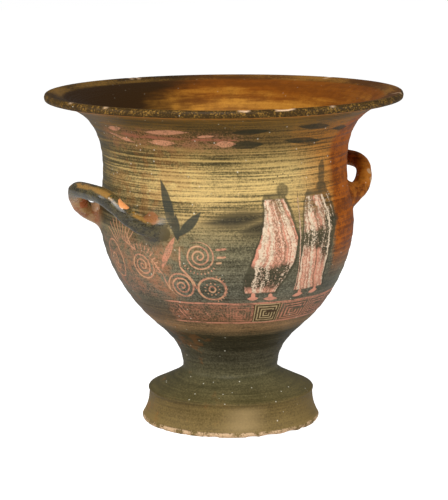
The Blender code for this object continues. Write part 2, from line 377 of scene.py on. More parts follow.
def solid(name, points, faces):
    """A mesh object from points and faces, with its faces turned outwards."""
    mesh = bpy.data.meshes.new(name)
    mesh.from_pydata(points.tolist(), [], faces)
    shape = bmesh.new()
    shape.from_mesh(mesh)
    bmesh.ops.recalc_face_normals(shape, faces=shape.faces)
    shape.to_mesh(mesh)
    shape.free()
    made = bpy.data.objects.new(name, mesh)
    bpy.context.scene.collection.objects.link(made)
    return made


def joined(pot, handle):
    """The pot with a handle's solid joined to it, as one closed mesh."""
    step = pot.modifiers.new("luting", "BOOLEAN")
    step.operation = "UNION"
    step.solver = "MANIFOLD"
    step.object = handle
    graph = bpy.context.evaluated_depsgraph_get()
    mesh = bpy.data.meshes.new_from_object(pot.evaluated_get(graph))
    pot.modifiers.clear()
    pot.data = mesh
    bpy.data.objects.remove(handle)


def points_of(mesh):
    """The mesh's vertices as rows of x, y and z."""
    flat = np.empty(len(mesh.vertices) * 3, np.float32)
    mesh.vertices.foreach_get("co", flat)
    return flat.reshape(-1, 3).astype(float)


def set_points(mesh, points):
    """Puts rows of x, y and z back into the mesh's vertices."""
    mesh.vertices.foreach_set("co", points.astype(np.float32).ravel())
    mesh.update()


def handle_nearness(points):
    """1 on a handle's own surface, falling to 0 where its smeared clay meets the wall."""
    radius, height = np.hypot(points[:, 0], points[:, 1]), points[:, 2]
    proud = radius - outer_radius(height)
    low, high = HANDLE_LEVELS
    level = (height > low) & (height < high) & (np.abs(points[:, 1]) < HANDLE_SIDE_REACH)
    return np.where(level, np.clip(proud / HANDLE_FADE, 0, 1), 0.0)


def soften_joints(mesh):
    """Gives the handles' roots their smeared clay, then moves each point there towards its neighbours."""
    points = points_of(mesh)
    level = (points[:, 2] > STEM_LEVEL) & (points[:, 2] < NECK_LEVEL + 0.02) & (insideness(points) == 0)
    beside = np.flatnonzero(level & (np.abs(points[:, 1]) < HANDLE_HALF_SPAN + 0.03))
    wall_gap, _ = from_wall(points[beside])
    rod_gap, _ = from_rods(points[beside])
    seam = beside[np.abs(wall_gap - rod_gap) < LUTING_REACH]
    points[seam] = luted(points[seam])
    set_points(mesh, points)
    shape = bmesh.new()
    shape.from_mesh(mesh)
    shape.verts.ensure_lookup_table()
    ring = [shape.verts[k] for k in seam]
    every_way = {"use_axis_x": True, "use_axis_y": True, "use_axis_z": True}
    for _ in range(3):
        bmesh.ops.smooth_vert(shape, verts=ring, factor=0.5, **every_way)
    bmesh.ops.triangulate(shape, faces=[face for face in shape.faces if len(face.verts) > 4])
    shape.to_mesh(mesh)
    shape.free()


# Age

# Chips that show: degrees round from the picture side, height, half width, depth
NAMED_CHIPS = (
    (-27.0, HEIGHT, 0.0050, 0.0006),
    (-15.0, HEIGHT, 0.0100, 0.0009),
    (-44.0, 0.0, 0.0050, 0.0009),
    (-20.0, 0.0, 0.0060, 0.0010),
    (-8.0, 0.0, 0.0090, 0.0013),
    (8.0, 0.0, 0.0080, 0.0014),
    (20.0, 0.0, 0.0040, 0.0010),
)
SMALL_LIP_CHIPS = {"count": 9, "level": HEIGHT, "least": 0.0010, "most": 0.0030, "depth": 0.0003}
SMALL_FOOT_CHIPS = {"count": 22, "level": 0.0005, "least": 0.0015, "most": 0.0040, "depth": 0.0006}
FOOT_CHIP_REACH = 0.0030
LIP_CHIP_REACH = 0.0020
CHIPPED_EDGE = 0.0120
BARE_DEPTH = 0.0004


def scattered(draw, count, level, least, most, depth):
    """Chips at bearings and half widths drawn by chance, all at one level and of one depth."""
    return [(draw.uniform(-math.pi, math.pi), level, draw.uniform(least, most), depth) for _ in range(count)]


def chips(points):
    """How deep each point is chipped, in metres: each chip is a shallow bowl on a worn edge."""
    draw = np.random.default_rng(SEED)
    angle = np.arctan2(points[:, 0], -points[:, 1])
    radius, height = np.hypot(points[:, 0], points[:, 1]), points[:, 2]
    outward = radius > np.where(height > BELLY_LEVEL, MOUTH_RADIUS, FOOT_EDGE_RADIUS) - CHIPPED_EDGE
    depth = np.zeros(len(points))
    named = [(math.radians(a), z, w, d) for a, z, w, d in NAMED_CHIPS]
    small = scattered(draw, **SMALL_LIP_CHIPS) + scattered(draw, **SMALL_FOOT_CHIPS)
    for where, level, width, deep in named + small:
        turn = (angle - where + math.pi) % (2 * math.pi) - math.pi
        reach = LIP_CHIP_REACH if level > BELLY_LEVEL else FOOT_CHIP_REACH
        near = (turn * radius / width) ** 2 + ((height - level) / reach) ** 2
        depth = np.maximum(depth, deep * np.clip(1 - near, 0, 1) ** 0.6 * outward)
    return depth


def waves(points):
    """Throwing waves and soft dents, in metres along the normal: sines up the wall that drift round it."""
    angle = np.arctan2(points[:, 0], -points[:, 1])
    height = points[:, 2]
    climbed = 2 * math.pi * height / WAVE_LENGTH
    ridge = np.sin(climbed + 0.9 * np.sin(angle) + 0.5 * np.sin(2 * angle + 1.0))
    finer = np.sin(climbed / 0.55 + 1.3 * np.cos(angle))
    dents = np.sin(3 * angle + 31 * height) * np.sin(23 * height + 0.7)
    dents = dents + 0.6 * np.sin(5 * angle - 47 * height + 2.0)
    calm = np.clip((height - FOOT_BAND_HEIGHT) / 0.02, 0, 1) * np.clip((LIP_LEVEL - height) / 0.02, 0, 1)
    return calm * (WAVE_DEPTH * (ridge + 0.5 * finer) + DENT_DEPTH * dents)


def pressed(points):
    """How far the wall beside one loop was pushed in as the loop was pressed on: a bell curve both ways."""
    turn = np.arctan2(points[:, 1], points[:, 0]) - PRESSED_WALL["bearing"]
    across = turn * BELLY_RADIUS / PRESSED_WALL["width"]
    up = (points[:, 2] - PRESSED_WALL["level"]) / PRESSED_WALL["height"]
    return PRESSED_WALL["depth"] * np.exp(-(across**2) - up**2) * (1 - handle_nearness(points))


def lean(points):
    """Shifts each level off the mouth's axis along a slightly bowed line, and dips and saddles the rim."""
    share = np.clip(points[:, 2] / HEIGHT, 0, None)
    towards = np.array([math.cos(LEAN_BEARING), math.sin(LEAN_BEARING)])
    away = np.array([-towards[1], towards[0]])
    bow = share * (1 - share)
    shift = LEAN * (share - 1) - LEAN_BOW * bow - LEAN_TWIST * bow * (0.5 - share)
    toward, across = points[:, :2] @ towards, points[:, :2] @ away
    leaned = points.copy()
    leaned[:, 2] -= share**DIP_CURVE * (MOUTH_DIP * toward - MOUTH_SADDLE * (toward**2 - across**2))
    leaned[:, :2] += shift[:, None] * towards
    return leaned


def keep(mesh, name, values):
    """Stores three numbers for each vertex under a name that the material reads."""
    layer = mesh.attributes.new(name, "FLOAT_VECTOR", "POINT")
    layer.data.foreach_set("vector", values.astype(np.float32).ravel())


def climb(height):
    """The way up the outside from the belly to a height, in millimetres along the surface."""
    outside = np.concatenate([foot(), wall(), lip()])
    outside[:, 1] = np.maximum.accumulate(outside[:, 1] + np.arange(len(outside)) * 1e-9)
    along = np.concatenate([[0], np.cumsum(np.linalg.norm(np.diff(outside, axis=0), axis=1))])
    belly = np.interp(BELLY_LEVEL, outside[:, 1], along)
    return MM * (np.interp(height, outside[:, 1], along) - belly)


def insideness(points):
    """1 on the lining and 0 on the outside, by which of the two surfaces is nearer at the point's height."""
    radius, height = np.hypot(points[:, 0], points[:, 1]), points[:, 2]
    inner = lining()[::-1]
    lined = np.interp(height, np.maximum.accumulate(inner[:, 1]), inner[:, 0])
    near_lining = np.abs(radius - lined) < np.abs(radius - outer_radius(height))
    over_floor = height > FLOOR_LEVEL - 0.001
    on_top = (height > HEIGHT - 1.2 * LIP_FALL) & (radius < MOUTH_RADIUS - 1.2 * LIP_ROUND)
    return ((near_lining & over_floor & (radius < MOUTH_RADIUS - 0.006)) | on_top).astype(float)


def krater():
    """The finished surface: pot and loops joined, the painted places kept, then waves, chips and the lean."""
    pot = turned_pot()
    joined(pot, loop("left_loop", LEFT_HANDLE))
    joined(pot, loop("right_loop", RIGHT_HANDLE))
    pot.name = "krater_surface"
    mesh = pot.data
    soften_joints(mesh)
    thrown = points_of(mesh)
    normals = np.empty(len(mesh.vertices) * 3, np.float32)
    mesh.vertices.foreach_get("normal", normals)
    normals = normals.reshape(-1, 3).astype(float)
    chipped = chips(thrown)
    chip_mask = np.clip(chipped / BARE_DEPTH, 0, 1)
    inside = insideness(thrown)
    keep(mesh, "thrown", thrown)
    keep(mesh, "wheel", np.column_stack([thrown[:, :2], climb(thrown[:, 2]) / MM]))
    keep(mesh, "masks", np.column_stack([inside, handle_nearness(thrown), chip_mask]))
    keep(mesh, "facing", normals)
    worked = thrown + normals * (waves(thrown) - pressed(thrown) * (1 - 2 * inside) - chipped)[:, None]
    worked[:, 2] = np.maximum(worked[:, 2], 0.0)
    set_points(mesh, lean(worked))
    mesh.shade_smooth()
    return pot


# Shader maths

class Field:
    """A number that changes over the surface: its operators and functions add maths nodes to its tree."""

    def __init__(self, tree, socket):
        self.tree = tree
        self.socket = socket

    def maths(self, operation, *others):
        """One maths node on this number and the others."""
        made = self.tree.nodes.new("ShaderNodeMath")
        made.operation = operation
        for value, socket in zip((self, *others), made.inputs):
            feed(self.tree, value, socket)
        return Field(self.tree, made.outputs[0])

    def __add__(self, other):
        return self.maths("ADD", other)

    def __sub__(self, other):
        return self.maths("SUBTRACT", other)

    def __rsub__(self, other):
        return self.maths("MULTIPLY_ADD", -1.0, other)

    def __mul__(self, other):
        return self.maths("MULTIPLY", other)

    def __truediv__(self, other):
        return self.maths("DIVIDE", other)

    def size(self):
        """The number without its sign."""
        return self.maths("ABSOLUTE")

    def join(self, other):
        """The greater of two numbers: two masks laid together."""
        return self.maths("MAXIMUM", other)

    def to_line(self):
        """The distance to the nearest whole number, from 0 to a half."""
        return self.maths("PINGPONG", 0.5)

    def step(self, start, end):
        """0 up to the start and 1 from the end on, with a smooth rise between; it also runs downwards."""
        made = self.tree.nodes.new("ShaderNodeMapRange")
        made.interpolation_type = "SMOOTHSTEP"
        made.clamp = False
        for value, socket in zip((self, start, end), made.inputs):
            feed(self.tree, value, socket)
        return Field(self.tree, made.outputs[0])

    def within(self, low, high, soft):
        """1 between two values and 0 outside them, with soft ends."""
        return self.step(low - soft, low + soft) * self.step(high + soft, high - soft)


def feed(tree, value, socket):
    """Links a field or a socket to another socket, or sets a plain value on it."""
    if isinstance(value, Field):
        value = value.socket
    if isinstance(value, bpy.types.NodeSocket):
        tree.links.new(value, socket)
    else:
        socket.default_value = value


def node(tree, kind, given, **settings):
    """A node of a kind with its settings, and with values or links for the inputs named."""
    made = tree.nodes.new("ShaderNode" + kind)
    for name, value in settings.items():
        setattr(made, name, value)
    for name, value in given.items():
        feed(tree, value, made.inputs[name])
    return made


def stretched(tree, place, scale):
    """A place with each of its three numbers multiplied."""
    return node(tree, "Mapping", {"Vector": place, "Scale": scale}).outputs[0]


def parts_of(tree, place):
    """A place's or a colour's three numbers."""
    made = node(tree, "SeparateColor", {"Color": place})
    return [Field(tree, socket) for socket in made.outputs]


def noise(tree, place, scale, detail=2.0, roughness=0.5, colour=False):
    """Cloudy noise about one half, as one number or as three in a colour."""
    given = {"Vector": place, "Scale": scale, "Detail": detail, "Roughness": roughness}
    made = node(tree, "TexNoise", given)
    return made.outputs["Color"] if colour else Field(tree, made.outputs["Fac"])


def mixed(factor, first, second):
    """One colour painted over another as far as the factor says."""
    tree = factor.tree
    made = node(tree, "Mix", {0: factor, 6: first, 7: second}, data_type="RGBA")
    return made.outputs[2]


def curve(field, points, low, high):
    """A smooth curve through points: each is a place of the field and the value there, from low to high."""
    places = [place for place, _ in points]
    first, span = min(places), max(places) - min(places)
    made = node(field.tree, "FloatCurve", {"Value": (field - first) / span})
    line = made.mapping.curves[0]
    rows = [((place - first) / span, (value - low) / (high - low)) for place, value in points]
    line.points[0].location, line.points[1].location = rows[0], rows[-1]
    for row in rows[1:-1]:
        line.points.new(*row)
    made.mapping.update()
    return Field(field.tree, made.outputs[0]) * (high - low) + low


def ramp(field, stops):
    """A colour that changes with the field, from stops that each hold a place and a colour."""
    places = [place for place, _ in stops]
    first, span = min(places), max(places) - min(places)
    made = node(field.tree, "ValToRGB", {"Fac": (field - first) / span})
    bar = made.color_ramp
    for place, colour in stops[1:-1]:
        bar.elements.new((place - first) / span).color = colour
    bar.elements[0].color = stops[0][1]
    bar.elements[-1].color = stops[-1][1]
    return made.outputs["Color"]


def group(name, given, made):
    """A new node group with named inputs, each with its usual value, and named outputs."""
    tree = bpy.data.node_groups.new(name, "ShaderNodeTree")
    for label, value in given.items():
        tree.interface.new_socket(label, in_out="INPUT", socket_type="NodeSocketFloat").default_value = value
    for label in made:
        tree.interface.new_socket(label, in_out="OUTPUT", socket_type="NodeSocketFloat")
    entry, out = tree.nodes.new("NodeGroupInput"), tree.nodes.new("NodeGroupOutput")
    return tree, {label: Field(tree, entry.outputs[label]) for label in given}, out


def use(tree, effect, given):
    """A node group placed in a tree, with values or links for its inputs; gives its outputs as fields."""
    made = tree.nodes.new("ShaderNodeGroup")
    made.node_tree = effect
    for name, value in given.items():
        feed(tree, value, made.inputs[name])
    outputs = [Field(tree, socket) for socket in made.outputs]
    return outputs[0] if len(outputs) == 1 else outputs


# Effects

LOCAL = {
    "U": 0.0, "V": 0.0, "Along u": 1.0, "Along v": 0.0, "Along start": 0.0,
    "Across u": 0.0, "Across v": 1.0, "Across start": 0.0,
}


def placed(centre, turn, size):
    """The six numbers that turn a painted place into its shares of a mark's half length and half width."""
    (u, v), (half_length, half_width) = centre, size
    east, north = math.cos(turn), math.sin(turn)
    return {
        "Along u": east / half_length,
        "Along v": north / half_length,
        "Along start": -(u * east + v * north) / half_length,
        "Across u": -north / half_width,
        "Across v": east / half_width,
        "Across start": (u * north - v * east) / half_width,
    }


def local_place(field):
    """Where a painted place lies along a mark and across it."""
    along = field["V"].maths("MULTIPLY_ADD", field["Along v"], field["Along start"])
    across = field["V"].maths("MULTIPLY_ADD", field["Across v"], field["Across start"])
    along = field["U"].maths("MULTIPLY_ADD", field["Along u"], along)
    return along, field["U"].maths("MULTIPLY_ADD", field["Across u"], across)


def brush_mark():
    """A brush mark: at a share of its length, the width left is one minus a power of that share."""
    given = {**LOCAL, "Bluntness": 2.0, "Outer edge": 1.15, "Inner edge": 0.85}
    tree, field, out = group("brush_mark", given, ["Mask"])
    along, across = local_place(field)
    reach = along.size().maths("POWER", field["Bluntness"]) + across.size()
    feed(tree, reach.step(field["Outer edge"], field["Inner edge"]), out.inputs[0])
    return tree


def scroll():
    """A scroll: a line whose radius grows by the pitch each turn, with a ring of short rays round part of it.

    Without growth it is a closed ring at each whole number of pitches.
    """
    given = {
        **LOCAL, "Pitch": 4.5, "Growth": 1.0, "Line": 0.8, "Outer": 14.0, "Inner": 1.0, "Ray start": 16.0,
        "Ray end": 20.0, "Ray count": 24.0, "Ray half turn": 1.0, "Ray turn": 0.0,
    }
    tree, field, out = group("scroll", given, ["Mask"])
    along, across = local_place(field)
    radius = (along * along + across * across).maths("SQRT")
    turn = across.maths("ARCTAN2", along) * (0.5 / math.pi)
    coil = (radius / field["Pitch"] - turn * field["Growth"]).to_line() * field["Pitch"]
    line = coil.step(field["Line"] + 0.35, field["Line"] - 0.35)
    line = line * radius.step(field["Outer"] + 0.5, field["Outer"] - 0.5)
    line = line * radius.step(field["Inner"] - 0.3, field["Inner"])
    spacing = radius * (2 * math.pi) / field["Ray count"]
    ray = (turn * field["Ray count"]).to_line() * spacing
    ray = ray.step(0.85, 0.35) * radius.step(field["Ray start"] - 0.4, field["Ray start"] + 0.4)
    ray = ray * radius.step(field["Ray end"] + 0.4, field["Ray end"] - 0.4)
    part = (turn - field["Ray turn"]).to_line()
    ray = ray * part.step(field["Ray half turn"] + 0.01, field["Ray half turn"] - 0.01)
    feed(tree, line.join(ray), out.inputs[0])
    return tree


def key_cell():
    """One square of a key pattern: nested squares, by the greater of the two distances from the middle."""
    tree, field, out = group("key_cell", {**LOCAL, "Rings": 4.0, "Line": 0.22}, ["Mask"])
    along, across = local_place(field)
    square = along.size().join(across.size())
    line = (square * field["Rings"]).to_line().step(field["Line"] + 0.1, field["Line"] - 0.1)
    gap = (across - 0.2).size().step(0.10, 0.16).join(along.step(0.0, -0.1))
    feed(tree, line * square.step(1.06, 1.0) * gap.join(square.step(0.8, 0.9)), out.inputs[0])
    return tree


# Colours, and how the coat changes up the outside: places in millimetres from the belly

def paint(red, green, blue):
    """A colour given out of 255 as the eye sees it, in the renderer's linear values."""
    shares = [channel / 255 for channel in (red, green, blue)]
    return tuple(s / 12.92 if s <= 0.04045 else ((s + 0.055) / 1.055) ** 2.4 for s in shares) + (1.0,)


DARK_COAT = (
    (-252, paint(74, 60, 30)), (-225, paint(72, 58, 31)), (-219, paint(64, 57, 32)),
    (-180, paint(56, 53, 34)), (-160, paint(48, 44, 30)), (-125, paint(42, 38, 24)),
    (-100, paint(58, 46, 30)), (-60, paint(50, 48, 36)), (-10, paint(56, 52, 38)),
    (20, paint(66, 60, 38)), (60, paint(72, 64, 38)), (90, paint(64, 54, 30)),
    (125, paint(64, 52, 28)), (150, paint(62, 46, 22)), (160, paint(48, 38, 22)),
)
LIGHT_COAT = (
    (-252, paint(124, 103, 60)), (-235, paint(118, 98, 56)), (-222, paint(110, 92, 52)),
    (-219, paint(108, 96, 60)), (-180, paint(106, 98, 68)), (-160, paint(104, 98, 76)),
    (-125, paint(92, 82, 56)), (-108, paint(160, 124, 84)), (-95, paint(124, 98, 68)),
    (-60, paint(132, 128, 108)), (-10, paint(144, 134, 100)), (20, paint(178, 150, 96)),
    (35, paint(194, 164, 104)), (60, paint(204, 174, 110)), (78, paint(178, 148, 88)),
    (95, paint(134, 102, 52)), (125, paint(142, 104, 46)), (145, paint(154, 108, 44)),
    (152, paint(144, 104, 46)), (160, paint(112, 86, 40)),
)
LIGHT_SHARE = (
    (-252, 0.66), (-235, 0.58), (-224, 0.50), (-219, 0.42), (-180, 0.42), (-160, 0.40), (-130, 0.30),
    (-112, 0.58), (-100, 0.46), (-75, 0.40), (-40, 0.42), (-8, 0.42), (10, 0.50), (30, 0.60),
    (60, 0.66), (76, 0.62), (84, 0.46), (100, 0.44), (125, 0.48), (145, 0.55), (160, 0.45),
)
RUST_DARK, RUST_LIGHT, WARM_BROWN = paint(96, 46, 4), paint(162, 86, 16), paint(136, 84, 38)
ORANGE_DARK, ORANGE_LIGHT = paint(92, 60, 18), paint(188, 118, 40)
# The foot's pale colour is a painted highlight on the foot band's front.
FOOT_BAND_HIGHLIGHT, SMUDGE, BLUSH = paint(160, 136, 94), paint(52, 47, 34), paint(168, 112, 84)
# The left loop's ochre, laid on its upper faces, is partly a painted highlight.
HANDLE_BLACK, HANDLE_OLIVE, HANDLE_OCHRE_HIGHLIGHT = paint(40, 36, 22), paint(84, 74, 42), paint(146, 108, 50)
HANDLE_RED, HANDLE_TAN = paint(150, 92, 50), paint(172, 132, 84)
SALMON, TAN_LINE = paint(200, 132, 104), paint(188, 146, 110)
PINK, CREAM = paint(208, 142, 116), paint(212, 190, 162)
CREASE, FIGURE_DARK = paint(112, 92, 68), paint(58, 54, 38)
LAUREL_PINK, LAUREL_RED = paint(206, 144, 108), paint(160, 96, 70)
LEAF_GREY, LEAF_DARK = paint(52, 54, 46), paint(42, 42, 28)
KEY_BROWN, KEY_CREAM = paint(64, 46, 26), paint(184, 160, 116)
LIP_DARK, LIP_OLIVE = paint(54, 38, 12), paint(146, 108, 46)
# Inside colours: the gold is a painted highlight and the black a painted shade.
INSIDE_RUST, INSIDE_GOLD_HIGHLIGHT = paint(122, 66, 10), paint(182, 126, 44)
INSIDE_BROWN, INSIDE_SHADE_BLACK = paint(84, 42, 6), paint(46, 28, 6)
BARE_CLAY, GREY_SPECK = paint(208, 174, 138), paint(204, 198, 178)

# How far the line from the bowl's golden side, a painted highlight, to its dark side, a painted shade, is
# turned from the X axis
LINING_SHADE_TURN = math.radians(33.6)

# The picture's marks: where a stroke starts and ends, round the pot and up it, and its half width
LAUREL = (
    ((-201, 103), (-179, 106), 3.0),
    ((-151, 104), (-106, 107), 3.2),
    ((-152, 92), (-121, 92.5), 3.0),
    ((-84, 92.5), (-64, 92.5), 3.6),
    ((-205, 97), (-168, 90), 2.0),
    ((-100, 101), (-84, 102), 1.6),
)
LAUREL_STEM = (((-186, 99), (-60, 97), 1.5), ((-176, 96), (-120, 98), 1.0))
LAUREL_DARK = (
    ((-70, 106), (-34, 108), 4.0),
    ((-72, 91), (-37, 91.5), 4.2),
    ((-9, 112), (31, 107.5), 4.2),
    ((-18, 94.5), (28, 90), 3.6),
    ((38, 103), (66, 101), 3.0),
)
TALL_LEAVES = (((-143, 55), (-125, 0), 5.0), ((-100, 25), (-124, 0), 4.6), ((-126, 22), (-124, -4), 4.0))
BUD = (((-127, 0), (-146, -34), 3.4),)
SCROLL_STROKES = (
    ((-122.5, -9), (-124.5, -31), 0.9),
    ((-124.5, -30), (-112.0, -46), 1.1),
    ((-112.5, -45), (-109.5, -54), 1.1),
    ((-157, -24), (-147, -40), 0.8),
    ((-147, -39), (-141, -58), 0.8),
    ((-87, -11), (-76, -10), 1.1),
    ((-86, -19), (-77, -18), 1.0),
    ((-87, -24.5), (-81, -24), 1.0),
    ((-190, 2), (-183, -14), 0.9),
    ((-196, -8), (-182, -15), 0.9),
    ((-184, -14), (-176, -18), 0.9),
)
# Scrolls: middle, turn and stretch, then the sizes that differ from the usual ones
SCROLLS = (
    ((-217, -32), 0.0, (0.8, 1.1), {"Pitch": 18.0, "Growth": 0.0, "Outer": 20.0, "Inner": 16.0,
     "Ray end": 15.0}),
    ((-219, -34), 0.0, (0.8, 1.1), {"Pitch": 5.0, "Outer": 9.0, "Ray end": 15.0}),
    ((-171, -33), 0.0, (1.0, 1.0), {"Pitch": 5.0, "Outer": 15.5, "Ray start": 17.0, "Ray end": 22.5,
     "Ray count": 26.0, "Ray half turn": 0.22, "Ray turn": 0.16}),
    ((-103.5, -18.5), 1.0, (1.0, 1.0), {"Pitch": 5.0, "Outer": 15.0, "Ray start": 17.5,
     "Ray end": 19.5, "Ray count": 30.0, "Ray half turn": 0.17, "Ray turn": 0.59}),
    ((-126, -52), 2.6, (1.0, 1.0), {"Pitch": 5.0, "Line": 0.95, "Outer": 15.5, "Ray end": 15.0}),
    ((-93, -54), 0.0, (1.1, 0.95), {"Pitch": 13.4, "Growth": 0.0, "Outer": 16.0, "Inner": 10.0, "Line": 1.1,
     "Ray start": 6.4, "Ray end": 7.8, "Ray count": 11.0}),
    ((-93, -54), 0.0, (1.0, 1.0), {"Pitch": 3.4, "Growth": 0.0, "Outer": 4.6, "Inner": 2.0, "Line": 0.9,
     "Ray start": 14.6, "Ray end": 16.6, "Ray count": 26.0, "Ray half turn": 0.22, "Ray turn": 0.0}),
    ((-196, -20), 0.0, (1.0, 1.0), {"Pitch": 50.0, "Outer": 1.0, "Inner": 2.0, "Ray start": 12.0,
     "Ray end": 34.0, "Ray count": 30.0, "Ray half turn": 0.15, "Ray turn": 0.27}),
)
# The key pattern's squares: middle, half width and strength
KEY_CELLS = ((-63, 15, 0.45), (-28.5, 15.5, 1.0), (10.5, 21, 0.9), (51.5, 17, 0.9), (87, 17, 0.9))
KEY_SLANTS = (
    ((-144, -74), (-132, -97), 0.8),
    ((-138, -74), (-127, -97), 0.7),
    ((-109, -75), (-100, -92), 0.9),
    ((-46.5, -74), (-46.5, -98), 0.9),
)
SMUDGES = (((-98, 14), (-30, 22), 7.0), ((-62, 6), (-22, 14), 6.0), ((36, 12), (56, 10), 7.0))


def round_head(turn, reach):
    """A place on an oval about the first figure's head, which reaches 2 mm further up than sideways."""
    return (-16 + reach * math.cos(turn), 46 + (reach + 2) * math.sin(turn))


WREATH_DOTS = tuple((round_head(turn, 11), round_head(turn, 13), 0.9) for turn in np.linspace(0.5, 2.6, 5))
# Bare patches on the handles, and a dark patch that is a painted shadow under the left loop's root: place on
# the thrown pot, reach and colour
CLAY_PATCHES_AND_ROOT_SHADOW = (
    ((-0.1461, -0.0440, 0.2405), 0.0062, paint(222, 146, 88)),
    ((-0.1250, 0.0500, 0.2235), 0.0052, paint(196, 152, 116)),
    ((-0.1404, 0.0438, 0.2285), 0.0065, paint(176, 96, 56)),
    ((-0.1240, -0.0525, 0.2250), 0.0080, paint(140, 92, 56)),
    # Painted shadow: the dark patch on the wall under the left loop's root.
    ((-0.1130, -0.0620, 0.2100), 0.0070, paint(80, 68, 40)),
    ((0.1467, -0.0515, 0.2389), 0.0045, paint(190, 152, 112)),
    ((0.1466, -0.0475, 0.2485), 0.0040, paint(190, 156, 120)),
)
# The two figures' edges: how far up, and how far round; then strokes
FIRST_LEFT = ((-70, -57), (-58, -57.5), (-50.8, -58.6), (-14.8, -47.4), (18, -38.4), (38, -36.4), (52, -30))
FIRST_RIGHT = (
    (-70, -24), (-57.8, -23.8), (-41.6, -13.7), (-9.6, -3.6), (20.8, -10.3), (34.3, -15.9), (52, -22),
)
SECOND_LEFT = ((-70, 3), (-55.5, 2.0), (-24.9, 2.0), (-0.8, 4.3), (31.2, 8.8), (42, 15), (52, 22))
SECOND_RIGHT = (
    (-70, 42), (-61.6, 43.5), (-46.7, 37.9), (-14.3, 41.3), (9.6, 48.0), (28.3, 44.7), (52, 34),
)
FEET = (
    ((-55, -65.5), (-42, -65), 2.6), ((-36, -66.5), (-19, -66.5), 2.6), ((0, -65.5), (14, -64), 2.4),
    ((23, -64.5), (37, -62.5), 2.4),
)
ANKLES = (
    ((-48.5, -58), (-48.5, -66), 2.4), ((-29, -60), (-28, -67), 2.4), ((8.5, -58), (8.5, -66), 2.2),
    ((32, -57), (31, -65), 2.2),
)
HEADS = (
    ((-17, 51), (-17, 38), 6.5), ((-27, 42), (-31, 24), 6.5), ((35.5, 70), (34, 44), 5.0),
    ((34, 50), (33, 30), 8.5), ((43, 40), (47, -4), 4.5),
)


class Surface:
    """The places, masks and noises that the parts of the material share, all on the pot as it was thrown."""

    def __init__(self, tree):
        self.tree = tree
        self.mark, self.coil, self.key = brush_mark(), scroll(), key_cell()
        self.thrown, wheel = self.kept("thrown"), self.kept("wheel")
        self.x, self.y, self.z = parts_of(tree, self.thrown)
        self.up = parts_of(tree, wheel)[2] * MM
        self.inside, self.handle, self.chipped = parts_of(tree, self.kept("masks"))
        self.upward = parts_of(tree, self.kept("facing"))[2]
        self.body = 1.0 - self.handle
        self.around = self.x.maths("ARCTAN2", self.y * -1.0) * (BELLY_RADIUS * MM)
        self.streak = noise(tree, stretched(tree, wheel, (8.0, 8.0, 420.0)), 1.0, 5.0, 0.65)
        self.cloud = noise(tree, self.thrown, 14.0, 4.0, 0.6)
        self.patch = noise(tree, self.thrown, 90.0, 4.0, 0.65)
        self.grain = noise(tree, self.thrown, 560.0, 4.0, 0.7)
        self.worn = (self.patch * 0.5 + self.grain * 0.5).step(0.42, 0.52)
        self.faint = (self.patch * 0.4 + self.grain * 0.6).step(0.45, 0.57)
        self.streaky = noise(tree, stretched(tree, self.thrown, (60.0, 60.0, 160.0)), 1.0, 3.0, 0.6)
        self.brushed = noise(tree, stretched(tree, self.thrown, (9.0, 9.0, 120.0)), 1.0, 4.0, 0.65)
        sideways, upwards, _ = parts_of(tree, noise(tree, self.thrown, 55.0, 2.0, 0.5, colour=True))
        half_turn = math.pi * BELLY_RADIUS * MM
        drawn = self.around.maths("WRAP", 127.0, 127.0 - half_turn)
        self.u = sideways.maths("MULTIPLY_ADD", 1.8, drawn - 0.9)
        self.v = upwards.maths("MULTIPLY_ADD", 1.8, self.up - 0.9)

    def kept(self, name):
        """Three numbers kept on the mesh."""
        return node(self.tree, "Attribute", {}, attribute_name=name).outputs["Vector"]

    def strokes(self, rows, bluntness=2.0, edge=0.3):
        """All the brush marks of a list, laid together as one mask."""
        mask = None
        for start, end, width in rows:
            run = (end[0] - start[0], end[1] - start[1])
            centre = ((start[0] + end[0]) / 2, (start[1] + end[1]) / 2)
            local = placed(centre, math.atan2(run[1], run[0]), (math.hypot(*run) / 2, width))
            edges = {"Outer edge": 1 + 0.5 * edge, "Inner edge": 1 - 0.5 * edge}
            made = self.marked(self.mark, local, {"Bluntness": bluntness, **edges})
            mask = made if mask is None else mask.join(made)
        return mask

    def marked(self, effect, local, given):
        """One mark's mask on the drawn surface."""
        return use(self.tree, effect, {"U": self.u, "V": self.v, **local, **given})

    def area(self, left, right, low, high, soft):
        """A soft-edged rectangle on the drawn surface."""
        return self.u.within(left, right, soft) * self.v.within(low, high, soft * 0.4)

    def spot(self, centre, radius):
        """A ragged spot about a place on the thrown pot."""
        made = node(self.tree, "VectorMath", {0: self.thrown, 1: centre}, operation="DISTANCE")
        reach = Field(self.tree, made.outputs["Value"]) / radius + (self.patch - 0.5) * 1.6
        return reach.step(1.1, 0.9)


